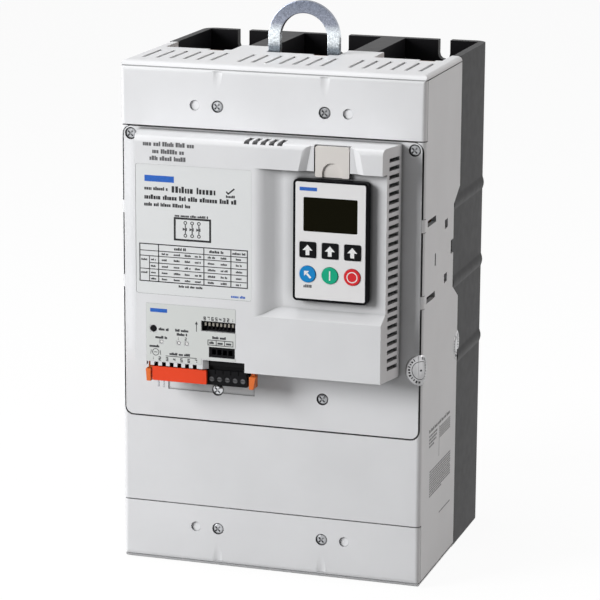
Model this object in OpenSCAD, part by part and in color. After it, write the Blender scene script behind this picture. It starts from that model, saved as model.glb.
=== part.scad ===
// Soft starter: a three-pole motor controller with a plug-in keypad and a lifting hoop.
// Depths are measured back from the grey front face, and at_front() moves them into the part's
// frame, whose origin is the bottom centre. Heights on the control module are measured from its
// top, and at_module() moves them too.

/* [Housing] */
// Width over the grey housing
body_w = 196; // [192:1:206]
// Height without the lifting hoop
body_h = 323; // [317:1:335]
// Depth from the grey front face to the mounting face
body_d = 158; // [150:1:170]
// Depth of the grey housing, where the black base begins
grey_d = 86; // [83:1:90]
// Wall of the grey housing
wall = 3; // [2.4:0.1:3.4]
// Rounding of the upright front edges
corner_r = 3; // [2:0.1:4]
// Side wall of the black base
base_wall = 5; // [4:0.1:6]
// Back wall of the black base
back_wall = 6; // [5:0.1:8]
// Step in from the grey sides to the black sides
base_step = 1.2; // [0.8:0.1:1.8]
// Rounding of the base's upright back edges
back_r = 8; // [5:0.5:10]
// How far the base reaches into a notch in the grey side walls
jog_d = 14; // [10:1:18]
// Height of the straight front edge of that reach
jog_h = 53; // [46:1:60]
// Height of its middle above the bottom
jog_z = 205; // [195:1:215]
// Height of the lowest side ridge
ridge_z = 128; // [122:1:134]
// Spacing of the three side ridges
ridge_pitch = 51.5; // [46:0.5:54]
// Width of a side ridge
ridge_w = 9.5; // [7:0.5:12]

/* [Terminal covers] */
// Height of a terminal cover
cover_h = 40.5; // [38:0.5:42]
// Wall of a terminal cover
cover_t = 3.5; // [3:0.1:4]
// Rounding of its long front edge
edge_r = 6; // [4:0.5:7]
// Distance of the cover screws from the middle
screw_x = 34.4; // [33.5:0.1:35.5]
// Distance of the cover screws from the end
screw_in = 25.8; // [22:0.1:28]
// Distance of the blind dimples from the middle
dimple_x = 49.2; // [46:0.1:54]
// Spacing of the vent slots
vent_pitch = 8.9; // [8.6:0.1:9.1]
// Width of a vent slot
vent_w = 2.4; // [1.6:0.1:2.8]
// Depth at which the vent slots start
vent_y = 17; // [14:1:20]
// Length of a vent slot
vent_l = 33; // [26:1:36]
// Width of an outer cable bay
bay_w = 44; // [40:0.5:45]
// Depth at which the cable bays start
bay_y = 63; // [61:0.5:65]
// Depth of the small step in a bay's front edge
bay_step = 4.5; // [2:0.5:6]

/* [Poles] */
// Distance of an outer pole from the base's inner side wall
pole_side = 22.8; // [22:0.1:24]
// Width of a divider between poles
divider_w = 16; // [12:0.5:18]
// Distance of the terminal shelves from the ends
shelf_in = 44; // [43:0.5:48]
// Width of a busbar
bar_w = 30; // [26:0.5:34]
// Thickness of a busbar
bar_t = 6; // [5:0.5:8]
// Radius of a lug hole
lug_r = 5.5; // [4.5:0.25:6.5]
// Distance of a lug hole from the end of the housing
lug_in = 20; // [16:1:24]
// Width of a mounting slot
slot_w = 8; // [6:0.5:10]
// Depth of a mounting slot from the end
slot_h = 13; // [11:0.5:16]
// Depth of a thyristor module
thyristor_d = 18; // [14:1:22]
// Height of a thyristor module
thyristor_h = 100; // [90:1:110]
// Depth of a bypass contactor
contactor_d = 46; // [36:1:48]
// Height of a bypass contactor
contactor_h = 70; // [60:1:80]
// Height of a current transformer
transformer_h = 18; // [14:1:22]
// Wall of a current transformer before and behind its bar
transformer_wall = 8.7; // [6:0.1:10]
// Spacing of the heat sink's fins
fin_pitch = 9; // [7:0.5:12]

/* [Lifting hoop] */
// Outer radius of the hoop
hoop_r = 23.5; // [21:0.5:23.5]
// Width of the hoop's bar
hoop_bar = 8; // [6:0.5:9]
// Thickness of the hoop
hoop_t = 4.5; // [3:0.5:6]
// Height of the hoop above the housing
hoop_rise = 33; // [28:1:38]

/* [Control panel] */
// Height of the panel's lower edge
panel_z = 96; // [90:1:100]
// Thickness of the panel
panel_t = 4; // [3:0.1:5]
// Open line around the panel
panel_gap = 1; // [0.6:0.1:1.4]
// Thin lip of the housing outside that line
panel_lip = 1; // [0.8:0.1:1.6]
// Corner radius of the panel
panel_r = 5; // [4:0.5:6]
// Distance of the upper panel screws from the panel's edges
panel_screw_in = 4.7; // [4.4:0.1:5.4]
// Height of the lower panel screws above the panel's lower edge
panel_screw_rise = 21.3; // [18:0.1:24]
// Room on the panel left of the module's foot
module_left = 10.5; // [10:0.1:12]
// Room on the panel right of the module's foot
module_right = 12.5; // [11:0.1:14]
// Height of the module
module_h = 144.5; // [143:0.5:150]
// Height of the module's face in front of the panel
module_d = 23.4; // [22.4:0.1:26]
// How far its sides slope in
draft = 5.5; // [3:0.5:6]
// Wall of the module
skin = 2.4; // [2:0.1:2.6]
// Rounding of its upper front edge
crown_r = 4; // [3:0.5:6]
// Left end of the keypad field's ramp from the keypad's middle
field_left = 48.4; // [46:0.1:51]
// Width of that ramp
ramp_w = 17.7; // [12:0.1:19]
// Depth of the keypad field
field_d = 5.4; // [4.6:0.1:5.8]
// Distance of the field's upper edge from the module's top
field_top = 16; // [14:0.5:17]
// Distance of the field's lower edge from the module's top
field_bottom = 108; // [105:0.5:112]
// Height of the slope at the field's lower edge
field_slope = 6; // [4:0.5:8]
// Number of louvres in the right wall
louvre_n = 26; // [20:1:26]
// Spacing of the louvres
louvre_pitch = 5.15; // [4.6:0.05:5.2]
// Width of a louvre
louvre_w = 2.5; // [1.6:0.1:2.7]

/* [Keypad] */
// Middle of the keypad from the module's right foot
keypad_in = 37.8; // [36.5:0.1:39.5]
// Middle of the keypad below the module's top
keypad_drop = 58.3; // [57.5:0.1:60]
// Width of the keypad
keypad_w = 47.2; // [46:0.1:48]
// Height of the keypad
keypad_h = 75.1; // [72:0.1:77]
// Width of the black rim
bezel = 1.4; // [1:0.1:2]
// Depth of the keypad's tub behind the field
tub_d = 5.6; // [5:0.1:6.4]
// Thickness of the faceplate
face_t = 1.2; // [1:0.1:1.6]
// Width of the display
lcd_w = 34; // [30:0.5:36]
// Height of the display
lcd_h = 21; // [18:0.5:22]
// Middle of the display below the module's top
lcd_drop = 42; // [41:0.1:43]
// Spacing of the keys
key_pitch = 14.1; // [13.6:0.1:14.5]
// Width of a square key
key_w = 10.2; // [9:0.1:10.6]
// Height of a square key
key_h = 9.5; // [8:0.1:10.5]
// Radius of a round key
round_key_r = 5.1; // [4.4:0.1:5.4]
// Middle of the square keys below the module's top
arrow_drop = 63.9; // [63:0.1:65]
// Middle of the round keys below the module's top
round_drop = 79; // [78:0.1:80]
// How far a key stands out of the faceplate
key_proud = 0.6; // [0.5:0.1:1]
// Travel of a key
key_travel = 0.5; // [0.3:0.1:0.5]
// Width of the latch tab
tab_w = 21.4; // [19:0.1:22]
// Height of the latch tab
tab_h = 18.8; // [17:0.1:19]
// Radius of its finger recess
finger_r = 6.3; // [5:0.1:7]

/* [Terminals and switches] */
// Middle of the status lights above the module's lower edge
light_rise = 15.5; // [14:0.1:17]
// Number of control terminals
ways = 12; // [10:1:12]
// Spacing of the terminals
way_pitch = 5.08; // [5:0.01:5.1]
// Middle of the terminal block from the module's left foot
plug_in = 46.8; // [45.5:0.1:48.5]
// Height of the terminal plug below the module
plug_h = 9.6; // [8:0.1:11]
// Number of terminals behind the orange guard
guard_ways = 7; // [6:1:8]
// Front face of the control board in front of the panel's face
board_y = 10.5; // [10:0.1:10.8]
// Thickness of the circuit boards
board_t = 1.6; // [1.2:0.1:2]
// Number of switch sliders
dip_n = 8; // [6:1:8]
// Spacing of the switch sliders
dip_pitch = 2.54; // [2.5:0.01:2.6]
// Middle of the switch block from the module's left foot
dip_in = 59.8; // [58.5:0.1:60.5]
// Middle of the switch block above the module's lower edge
dip_rise = 27.7; // [26.5:0.1:28.5]
// Travel of a slider
dip_travel = 2; // [1.5:0.1:2.2]
// Middle of the expansion port from the module's left foot
port_in = 62.1; // [60.5:0.1:63.5]
// Middle of the expansion port above the module's lower edge
port_rise = 11.5; // [11.1:0.1:12]
// Width of the expansion port
port_w = 16.3; // [14:0.1:17]
// Height of the expansion port
port_h = 6.1; // [5:0.1:6.4]
// Middle of the reset button from the module's left foot
reset_in = 17.2; // [15.5:0.1:19.5]
// Middle of the reset button above the module's lower edge
reset_rise = 23.6; // [20.5:0.1:26.5]
// Radius of the reset button
reset_r = 1.9; // [1.5:0.1:2.4]
// Travel of the reset button
reset_travel = 1.5; // [1:0.1:1.6]

/* [Clearances] */
// Open line between covers and housing
seam = 0.7; // [0.3:0.1:0.8]
// Room around a key, a button or a window
key_gap = 0.25; // [0.2:0.05:0.35]
// Room around plugged and hinged pieces
fit_gap = 0.3; // [0.2:0.05:0.4]
// Room around a screw's shank
screw_gap = 0.2; // [0.15:0.05:0.3]

/* [Hidden] */
$fn = 48;
reach = module_d + key_proud;
front_y = (reach - body_d) / 2;
half_w = body_w / 2;
in_w = half_w - wall;
base_w = half_w - base_step;
base_in_w = base_w - base_wall;
back_in_y = body_d - back_wall;
low_split = cover_h;
high_split = body_h - cover_h;
cap_z = body_h - cover_t;
shelf_z = body_h - shelf_in;
pole_pitch = base_in_w - pole_side;
poles = [-pole_pitch, 0, pole_pitch];
pole_room = 1;
pole_block_w = 2 * (pole_side - pole_room);
mid_bay_w = 2 * (hoop_r + fit_gap);
hoop_y = bay_y + 3;
jog_slope = 9;

panel_w = half_w - panel_lip - panel_gap;
panel_low = panel_z + panel_gap;
panel_high = high_split - 0.3;
module_top = high_split - 1.5;
module_l = panel_w - module_left;
module_r = panel_w - module_right;
keypad_x = module_r - keypad_in;
field_x = keypad_x - field_left;
plug_x = -module_l + plug_in;
dip_x = -module_l + dip_in;
port_x = -module_l + port_in;
reset_x = -module_l + reset_in;
slope = draft / module_d;
face_y = -module_d;
field_y = face_y + field_d;
panel_screws_at = [
    for (s = [-1, 1]) [s * (panel_w - panel_screw_in), panel_high - panel_screw_in],
    for (s = [-1, 1]) [s * screw_x, panel_z + panel_screw_rise]
];
shank_r = 1.75;
head_r = 3.3;
head_h = 1.7;
head_gap = 0.5;
sink_h = 1.3;
boss_r = 4.6;
screw_l = 14;

sink_y = grey_d + bar_t + thyristor_d;
sink_in = 70;
sink_z = [sink_in, body_h - sink_in];
middle_z = body_h / 2;
contact_h = 20;
contact_w = 20;

face_back = face_y + face_t;
tub_y = field_y + tub_d;
tub_w = keypad_w - 8;
tub_h = keypad_h - 8;
key_board_y = tub_y - skin / 2 - 2.4;
keys_at = [-key_pitch, 0, key_pitch];
collar = 0.7;
collar_t = 0.8;
face_w = keypad_w - 2 * bezel;
face_h = keypad_h - 2 * bezel;
ledge = 1.4;
key_r = 0.8;

tab_x = keypad_x;
tab_y = face_y + 2.7;
tab_t = 2.4;
tab_top = 0.6;
tab_pin_r = 0.9;
finger_z = -tab_top - tab_h + 2.6;
tab_pin_z = -tab_top - 1.9;
notch_w = tab_w + 2 * 0.6;
notch_y = tab_y + tab_t + 0.9;
cheek_w = 4.4;
cheek_d = 2.2;
cheek_x = notch_w / 2 + 1.7 + cheek_w;
cheek_tilt = 11;

board_x = [-module_l + 9.5, module_r - 11.5];
board_z = [-module_h + 5.5, -9];
board_hole_in = 3.5;
board_low_holes = [39, 21];
board_screws_at = [
    for (i = [0, 1], z = [board_z[1] - board_hole_in, board_z[0] + board_low_holes[i]])
        [board_x[i] + (1 - 2 * i) * board_hole_in, z]
];
switch_w = 6;
switch_t = 2.4;
chip_w = 20;
chip_in = 45.5;
chip_drop = 60;
label_in = 6;
label_rise = 45.5;
label_drop = 17.5;
top_vent_in = 5.2;
top_vent_pitch = 5.3;
top_vent_w = 3.2;
top_vent_y = [face_y + 0.9, -9.4];
dip_drop = module_h - dip_rise;
port_drop = module_h - port_rise;
reset_drop = module_h - reset_rise;

plug_w = ways * way_pitch + 0.4;
plug_top = -module_h - 0.5;
plug_low = plug_top - plug_h;
plug_y = [face_y + 2.4, -9.5];
tongue_y = [face_y + 5, -12.5];
header_y = [face_y + 3.2, -board_y];
header_z = [-module_h + skin - fit_gap, -port_drop - port_h / 2 - fit_gap];
tongue_room = 1;
header_roof = 1.2;
tongue_top = header_z[1] - header_roof - tongue_room;
lever_pin_x = plug_w / 2 + 3;
lever_pin_z = -module_h + skin + 2;
lever_r = 1.4;
lever_pin_r = 0.9;
lever_y = [header_y[0] + 2.2, header_y[1] - 2.2];
way_x = [for (i = [0:ways - 1]) plug_x + (i - (ways - 1) / 2) * way_pitch];
screw_row = plug_low + 0.38 * plug_h;

dip_w = dip_n * dip_pitch + 1.2;
dip_h = 8.6;
dip_front = face_y + skin + 0.3;
slider_w = 1.3;
slider_h = 2.2;
slider_out = 1.2;
slider_deep = 1.6;
lights_in = [22.5, 33.9, 39.1];
lights_at = [for (x = lights_in) [-module_l + x, -module_h + light_rise]];
light_r = 0.9;

// Helpers: frames, boxes and extrusions

module at_front() translate([0, front_y, 0]) children();
module at_module() translate([0, front_y, module_top]) children();
module both_sides() {
    children();
    mirror([1, 0, 0]) children();
}
function span(middle, size) = [middle - size / 2, middle + size / 2];
module box(x, y, z) translate([x[0], y[0], z[0]]) cube([x[1] - x[0], y[1] - y[0], z[1] - z[0]]);
// Extrusions of an outline drawn in X and Z, in depth and Z, and in X and depth
module along_y(y) translate([0, y[1], 0]) rotate([90, 0, 0]) linear_extrude(y[1] - y[0]) children();
module along_x(x) translate([x[0], 0, 0]) rotate([90, 0, 90]) linear_extrude(x[1] - x[0]) children();
module along_z(z) translate([0, 0, z[0]]) linear_extrude(z[1] - z[0]) children();
module rod_y(at, r, y) translate([at[0], y[1], at[1]]) rotate([90, 0, 0]) cylinder(r = r, h = y[1] - y[0]);
module rod_x(at, r, x) translate([x[0], at[0], at[1]]) rotate([0, 90, 0]) cylinder(r = r, h = x[1] - x[0]);
module rod_z(at, r, z) translate([at[0], at[1], z[0]]) cylinder(r = r, h = z[1] - z[0]);
function arc(x, y, r, from, to, n = 6) =
    [for (i = [0:n]) let (a = from + (to - from) * i / n) [x + r * cos(a), y + r * sin(a)]];
function round_rect(x, y, r) = concat(
    arc(x[0] + r, y[0] + r, r, 180, 270), arc(x[1] - r, y[0] + r, r, 270, 360),
    arc(x[1] - r, y[1] - r, r, 0, 90), arc(x[0] + r, y[1] - r, r, 90, 180));
module plate_y(x, z, r, y) along_y(y) polygon(round_rect(x, z, r));

// A pan-head screw whose head seats in a counterbore of depth sink_h at depth 0
module pan_screw(at) difference() {
    union() {
        rod_y(at, head_r, [sink_h - head_h / 2, sink_h]);
        translate([at[0], sink_h - head_h / 2, at[1]]) rotate([90, 0, 0])
            cylinder(r1 = head_r, r2 = head_r - 1, h = head_h / 2);
        rod_y(at, shank_r, [sink_h - 0.1, screw_l]);
    }
    for (a = [45, 135]) translate([at[0], sink_h - head_h, at[1]]) rotate([0, a, 0])
        box([-2.2, 2.2], [-0.5, 1.1], [-0.5, 0.5]);
}
module screw_hole(at, depth) {
    rod_y(at, shank_r + screw_gap, [-1, depth]);
    rod_y(at, head_r + head_gap, [-1, sink_h]);
}

// The housing

module base_plan() polygon([
    [-base_w, grey_d], each arc(-base_w + back_r, body_d - back_r, back_r, 180, 90),
    each arc(base_w - back_r, body_d - back_r, back_r, 90, 0), [base_w, grey_d],
    [base_in_w, grey_d], [base_in_w, back_in_y], [-base_in_w, back_in_y], [-base_in_w, grey_d]]);
// The base's reach into the grey side walls, grown by gap
module jog(x, gap) along_x(x) polygon([
    [grey_d + 1, jog_z - jog_h / 2 - jog_slope - gap], [grey_d, jog_z - jog_h / 2 - jog_slope - gap],
    [grey_d - jog_d - gap, jog_z - jog_h / 2 - gap], [grey_d - jog_d - gap, jog_z + jog_h / 2 + gap],
    [grey_d, jog_z + jog_h / 2 + jog_slope + gap], [grey_d + 1, jog_z + jog_h / 2 + jog_slope + gap]]);
// A rounded rib along one side of the base
module ridge(z, y) along_y(y) polygon(concat(
    [[base_w - 1, z - ridge_w / 2], [base_w, z - ridge_w / 2]],
    [for (t = [0:6]) [base_w + base_step * sin(180 * (t + 1) / 8), z + ridge_w * ((t + 1) / 8 - 0.5)]],
    [[base_w, z + ridge_w / 2], [base_w - 1, z + ridge_w / 2]]));
module base_housing() color([0.23, 0.23, 0.25]) at_front() difference() {
    union() {
        along_z([0, body_h]) base_plan();
        both_sides() jog([base_in_w, base_w], 0);
        both_sides() intersection() {
            for (i = [0:2])
                ridge(ridge_z + i * ridge_pitch, [i == 0 ? grey_d + 3 : grey_d - jog_d + 2, body_d - back_r]);
            union() {
                jog([base_w - 2, half_w + 1], 0);
                box([base_w - 2, half_w + 1], [grey_d, body_d], [0, body_h]);
            }
        }
        for (z = [[shelf_in, shelf_in + wall], [shelf_z - wall, shelf_z]])
            box([-base_in_w, base_in_w], [grey_d, back_in_y], z);
        for (s = [-0.5, 0.5], z = [[0, shelf_in], [shelf_z, body_h]])
            box(span(s * pole_pitch, divider_w), [grey_d, back_in_y], z);
    }
    for (x = poles) {
        box(span(x, bar_w + 2 * fit_gap), [grey_d - 1, grey_d + bar_t + fit_gap],
            [shelf_in - 1, shelf_z + 1]);
        for (flip = [0, 1]) translate([x, 0, flip * body_h]) mirror([0, 0, flip])
            along_y([back_in_y - 1, body_d + 1]) polygon(concat(
                [[-slot_w / 2, -1], [slot_w / 2, -1]], arc(0, slot_h - slot_w / 2, slot_w / 2, 0, 180)));
    }
}

module front_plan() polygon([
    [-half_w, grey_d], each arc(-half_w + corner_r, corner_r, corner_r, 180, 270),
    each arc(half_w - corner_r, corner_r, corner_r, 270, 360), [half_w, grey_d]]);
module shell_plan() difference() {
    front_plan();
    translate([-in_w, wall]) square([2 * in_w, grey_d]);
}
// The recess that the panel drops into, with a rounded corner left above each end
module panel_recess() {
    w = panel_w + panel_gap;
    plate_y([-w, w], [panel_z, high_split], panel_r + panel_gap, [-1, panel_t]);
    box([-w + panel_r - 1, w - panel_r + 1], [-1, panel_t], [high_split - panel_r, high_split + 1]);
}
module main_housing() color([0.86, 0.87, 0.88]) at_front() difference() {
    union() {
        difference() {
            along_z([low_split, high_split]) shell_plan();
            panel_recess();
            hook_tabs(fit_gap);
        }
        both_sides() for (z = [[cover_t, low_split], [high_split, cap_z]])
            box([in_w, half_w], [cover_t + seam, grey_d], z);
        box([-in_w, in_w], [panel_t, panel_t + wall], [panel_z - wall, high_split]);
        box([-in_w, in_w], [wall / 2, panel_t + wall / 2], [panel_z - wall, panel_z]);
        box([-in_w, in_w], [panel_t, grey_d], [shelf_z - wall, shelf_z]);
        box([-in_w, in_w], [wall / 2, grey_d], [shelf_in, shelf_in + wall]);
        for (s = [-1, 1]) {
            box(span(s * screw_x, wall), [cover_t + 4, grey_d], [shelf_z - 1, cap_z - 1]);
            box(span(s * screw_x, wall), [cover_t + 4, grey_d], [cover_t + 1, shelf_in + 1]);
            for (z = [screw_in, body_h - screw_in]) rod_y([s * screw_x, z], boss_r, [cover_t, screw_l + 4]);
        }
        for (at = panel_screws_at) rod_y(at, boss_r, [panel_t, screw_l + 4]);
        for (at = driver_posts()) rod_y(at, 3, [panel_t, driver_y]);
    }
    for (s = [-1, 1], z = [screw_in, body_h - screw_in])
        rod_y([s * screw_x, z], shank_r + screw_gap, [0, screw_l + 2]);
    for (at = panel_screws_at) rod_y(at, shank_r + screw_gap, [0, screw_l + 2]);
    both_sides() jog([in_w - 1, half_w + 1], fit_gap);
    both_sides() side_slots();
}
// Hook slots and windows in the grey side walls, through the wall
hook_z = [jog_z - 21.7, jog_z + 26];
hook_h = 8;
hook_l = 20;
// Middle depth, middle height, width and height of each window
side_windows = [
    [0.62 * grey_d, jog_z + 17.6, 7, 5.6], [0.32 * grey_d, jog_z, 2.2, 7.8],
    [0.62 * grey_d, jog_z - 17, 7, 5.6], [grey_d - jog_d - 3, jog_z, 7, 8.8]];
module side_slots() {
    hook_y = panel_t + wall + 1;
    for (z = hook_z) box([in_w - 1, half_w + 1], [hook_y, hook_y + hook_l], span(z, hook_h / 2));
    for (s = side_windows) box([in_w - 1, half_w + 1], span(s[0], s[2]), span(s[1], s[3]));
}
// Tabs of the panel that pass the housing's lip in front of the hook slots, grown by gap
module hook_tabs(gap) both_sides() for (z = hook_z)
    box([panel_w - 2, half_w + gap], [-gap, panel_t], span(z, hook_h + 2 * gap));

// A terminal cover, as it sits at the upper end
crown_line_d = 0.8;
crown_line_y = edge_r - sqrt(pow(edge_r, 2) - pow(edge_r - cover_t, 2)) + crown_line_d;
flute_r = 8;
flute_d = 1.1;
flute_z = body_h - screw_in + 8.5;
module terminal_cover() difference() {
    intersection() {
        along_x([-half_w, half_w]) polygon([
            [0, high_split + seam], each arc(edge_r, body_h - edge_r, edge_r, 180, 90), [grey_d, body_h],
            [grey_d, cap_z], [cover_t, cap_z], [cover_t, high_split + seam]]);
        along_z([high_split, body_h + 1]) polygon([
            [-half_w, grey_d + 1], each arc(-half_w + corner_r, corner_r, corner_r, 180, 270),
            each arc(half_w - corner_r, corner_r, corner_r, 270, 360), [half_w, grey_d + 1]]);
        along_y([-1, grey_d + 1]) polygon([
            [-half_w, high_split], [half_w, high_split],
            each arc(half_w - corner_r, body_h - corner_r, corner_r, 0, 90),
            each arc(-half_w + corner_r, body_h - corner_r, corner_r, 90, 180)]);
    }
    // Cable bays with a small step in the front edge
    for (x = poles) {
        w = x == 0 ? mid_bay_w : bay_w;
        box(span(x, w), [bay_y, grey_d + 1], [cap_z - 1, body_h + 1]);
        box([x + 0.18 * bay_w, x + 0.41 * bay_w], [bay_y - bay_step, bay_y + 1], [cap_z - 1, body_h + 1]);
    }
    // Vent slots, left out over the two phase barriers
    for (k = [-10:10]) if (abs(k) != 4)
        box(span(k * vent_pitch, vent_w), [vent_y, vent_y + vent_l], [cap_z - 1, body_h + 1]);
    // Line where the top meets the front and the sides
    box([-half_w - 1, half_w + 1], [-1, crown_line_y], [cap_z, cap_z + seam]);
    both_sides() box([half_w - crown_line_d, half_w + 1], [-1, grey_d + 1], [cap_z, cap_z + seam]);
    for (s = [-1, 1]) {
        screw_hole([s * screw_x, body_h - screw_in], cover_t + 1);
        rod_y([s * dimple_x, body_h - screw_in], head_r, [-1, sink_h]);
        // Flute that runs out above the screw
        translate([s * screw_x, -flute_r, flute_z]) rotate([-atan(flute_d / (cap_z - flute_z)), 0, 0])
            cylinder(r = flute_r, h = cap_z - flute_z);
    }
}
module upper_cover() color([0.89, 0.9, 0.91]) at_front() terminal_cover();
module lower_cover() color([0.85, 0.86, 0.87]) at_front()
    translate([0, 0, body_h]) rotate([0, 180, 0]) terminal_cover();
module upper_cover_screws() color("silver") at_front()
    for (s = [-1, 1]) pan_screw([s * screw_x, body_h - screw_in]);
module lower_cover_screws() color("silver") at_front()
    for (s = [-1, 1]) pan_screw([s * screw_x, screw_in]);
module panel_screws() color("silver") at_front() for (at = panel_screws_at) pan_screw(at);

// A flat bar bent over in a half ring, whose legs stand on the shelf of the middle bay
module lifting_hoop() color([0.62, 0.64, 0.67]) at_front() {
    bend_z = body_h + hoop_rise - hoop_r;
    translate([0, hoop_y + hoop_t, bend_z]) rotate([90, 0, 0]) rotate_extrude(angle = 180, $fn = 96)
        translate([hoop_r - hoop_bar, 0]) square([hoop_bar, hoop_t]);
    both_sides() box([hoop_r - hoop_bar, hoop_r], [hoop_y, hoop_y + hoop_t], [shelf_z, bend_z]);
}

// The control panel with its raised module, one moulding

// The module's outline in plan and from the side, with its faces moved in by inset
module module_plan(inset, back) polygon([
    [-module_l + inset - slope * back, back], [module_r - inset + slope * back, back],
    [module_r - inset - slope * (module_d - inset), face_y + inset],
    [-module_l + inset + slope * (module_d - inset), face_y + inset]]);
module module_side(inset, back) {
    r = max(crown_r - inset, 0.6);
    polygon([
        [back, -module_h + inset], [back, -inset], each arc(face_y + inset + r, -inset - r, r, 90, 180),
        [face_y + inset, -module_h + inset]]);
}
module module_block(inset, back) intersection() {
    along_z([-module_h - 1, 1]) module_plan(inset, back);
    along_x([-body_w, body_w]) module_side(inset, back);
}
// The keypad's field: an S-shaped ramp on the left, a slope below, open to the right; grown by inset
module keypad_field(inset) {
    steps = 8;
    rise = field_slope / field_d;
    intersection() {
        along_z([-module_h - 1, 1]) polygon(concat(
            [[field_x - inset, face_y - 5]],
            [for (i = [0:steps]) [field_x - inset + ramp_w * i / steps,
                                  face_y + inset + field_d * (1 - cos(180 * i / steps)) / 2]],
            [[body_w, field_y + inset], [body_w, face_y - 5]]));
        along_x([-body_w, body_w]) polygon([
            [face_y - 5, -field_bottom - 5 * rise - 1.5 * inset],
            [field_y + inset, -field_bottom + field_slope + (rise - 1.5) * inset],
            [field_y + inset, -field_top + inset], [face_y - 5, -field_top + inset]]);
    }
}
// The notch that the latch tab sits in, between bevelled cheeks that spread downwards; grown by inset
module tab_notch(inset) translate([tab_x, 0, 0]) {
    low = -field_top - 2 - inset;
    side = inset * tan(atan(cheek_d / cheek_w) / 2);
    box(span(0, notch_w + 2 * inset), [face_y - 5, notch_y + inset], [low, 5]);
    both_sides() translate([cheek_x, 0, 0]) rotate([0, -cheek_tilt, 0]) along_z([low, 5]) polygon([
        [cheek_w + side, face_y - cheek_d + inset], [-cheek_w + side, face_y + cheek_d + inset],
        [-cheek_x, face_y + cheek_d + inset], [-cheek_x, face_y - 5], [cheek_w + side, face_y - 5]]);
}
module louvres() {
    side_x = module_r - slope * module_d / 2;
    for (i = [0:louvre_n - 1])
        box([side_x - 6, side_x + 6], [field_y + skin + 0.3, -3.2], span(-7.9 - i * louvre_pitch, louvre_w));
}
module control_cover() color([0.87, 0.88, 0.89]) {
    at_front() difference() {
        union() {
            plate_y([-panel_w, panel_w], [panel_low, panel_high], panel_r, [0, panel_t]);
            intersection() {
                hook_tabs(0);
                along_z([panel_low, panel_high]) front_plan();
            }
        }
        translate([0, 0, module_top]) module_block(skin, panel_t + 1);
        for (at = panel_screws_at) screw_hole(at, panel_t + 1);
        // Shallow field under the terminals
        box(span(plug_x, plug_w - 4), [-1, 0.6], [panel_z + panel_screw_rise - 2, module_top - module_h + 1]);
    }
    at_module() difference() {
        union() {
            difference() {
                module_block(0, 0.6);
                keypad_field(0);
                tab_notch(0);
                difference() {
                    module_block(skin, panel_t + 1);
                    keypad_field(skin);
                    tab_notch(skin);
                }
            }
            for (at = board_screws_at) rod_y(at, 3, [face_y + skin / 2, -board_y]);
        }
        louvres();
        for (i = [-2:2]) box(span(field_x + top_vent_in + i * top_vent_pitch, top_vent_w),
            top_vent_y, [-skin - 0.5, 1]);
        // Pocket for the rating label
        plate_y([-module_l + label_in, field_x - 1.7], [-module_h + label_rise, -label_drop], 1.5,
                [face_y - 1, face_y + 0.4]);
        // Seats of the keypad's tub and of the tab's pin
        plate_y(span(keypad_x, tub_w + 2 * fit_gap), span(-keypad_drop, tub_h + 2 * fit_gap), 2,
                [field_y - 1, field_y + skin + 1]);
        rod_x([tab_y + tab_t / 2, tab_pin_z], tab_pin_r + key_gap, span(tab_x, notch_w + 3));
        // Windows for the switches, the port, the button and the lights
        box(span(dip_x, dip_w + 0.6), [face_y - 1, face_y + skin + 1], span(-dip_drop, 6.4));
        box(span(port_x, port_w + 2 * key_gap), [face_y - 1, face_y + skin + 1],
            span(-port_drop, port_h + 2 * key_gap));
        rod_y([reset_x, -reset_drop], reset_r + key_gap, [face_y - 1, face_y + skin + 1]);
        for (at = lights_at) rod_y(at, light_r + key_gap, [face_y - 1, face_y + skin + 1]);
        // Mouth for the terminal plug, and the notches above it
        box(span(plug_x, plug_w + 15), [face_y + skin, -7], [-module_h - 1, -module_h + skin + 0.5]);
        along_z([-module_h - 1, -module_h + 6]) polygon([
            [way_x[guard_ways] - 5, face_y - 1], [way_x[guard_ways] - 5, face_y],
            [way_x[guard_ways] - 0.5, face_y + skin + 1], [way_x[ways - 1] + 2, face_y + skin + 1],
            [way_x[ways - 1] + 2, face_y - 1]]);
        for (i = [-1:guard_ways - 2]) box(span(way_x[0] + i * way_pitch, 2.6),
            [face_y - 1, face_y + skin + 1], [-module_h - 1, -module_h + 2.4]);
        for (at = board_screws_at) rod_y(at, 1.1, [-board_y - 6, -board_y + 1]);
    }
}

// The plug-in keypad

module keypad_body() color([0.07, 0.07, 0.08]) at_module() difference() {
    union() {
        plate_y(span(keypad_x, keypad_w), span(-keypad_drop, keypad_h), 2.6, [face_y - 0.2, field_y]);
        plate_y(span(keypad_x, tub_w), span(-keypad_drop, tub_h), 1.7, [field_y - 0.1, tub_y]);
    }
    // Seat of the faceplate, room for the keys' collars, and the tub
    plate_y(span(keypad_x, face_w), span(-keypad_drop, face_h), 1.2, [face_y - 1, face_back]);
    plate_y(span(keypad_x, face_w - 2 * ledge), span(-keypad_drop, face_h - 2 * ledge), 1,
            [face_y, field_y - skin / 2]);
    difference() {
        plate_y(span(keypad_x, tub_w - 2 * skin), span(-keypad_drop, tub_h - 2 * skin), 1,
                [face_y, tub_y - skin / 2]);
        for (s = [-1, 1], t = [-1, 1])
            rod_y([keypad_x + s * (tub_w / 2 - skin), -keypad_drop + t * (tub_h / 2 - skin)], 3,
                  [key_board_y, tub_y]);
    }
}
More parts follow.
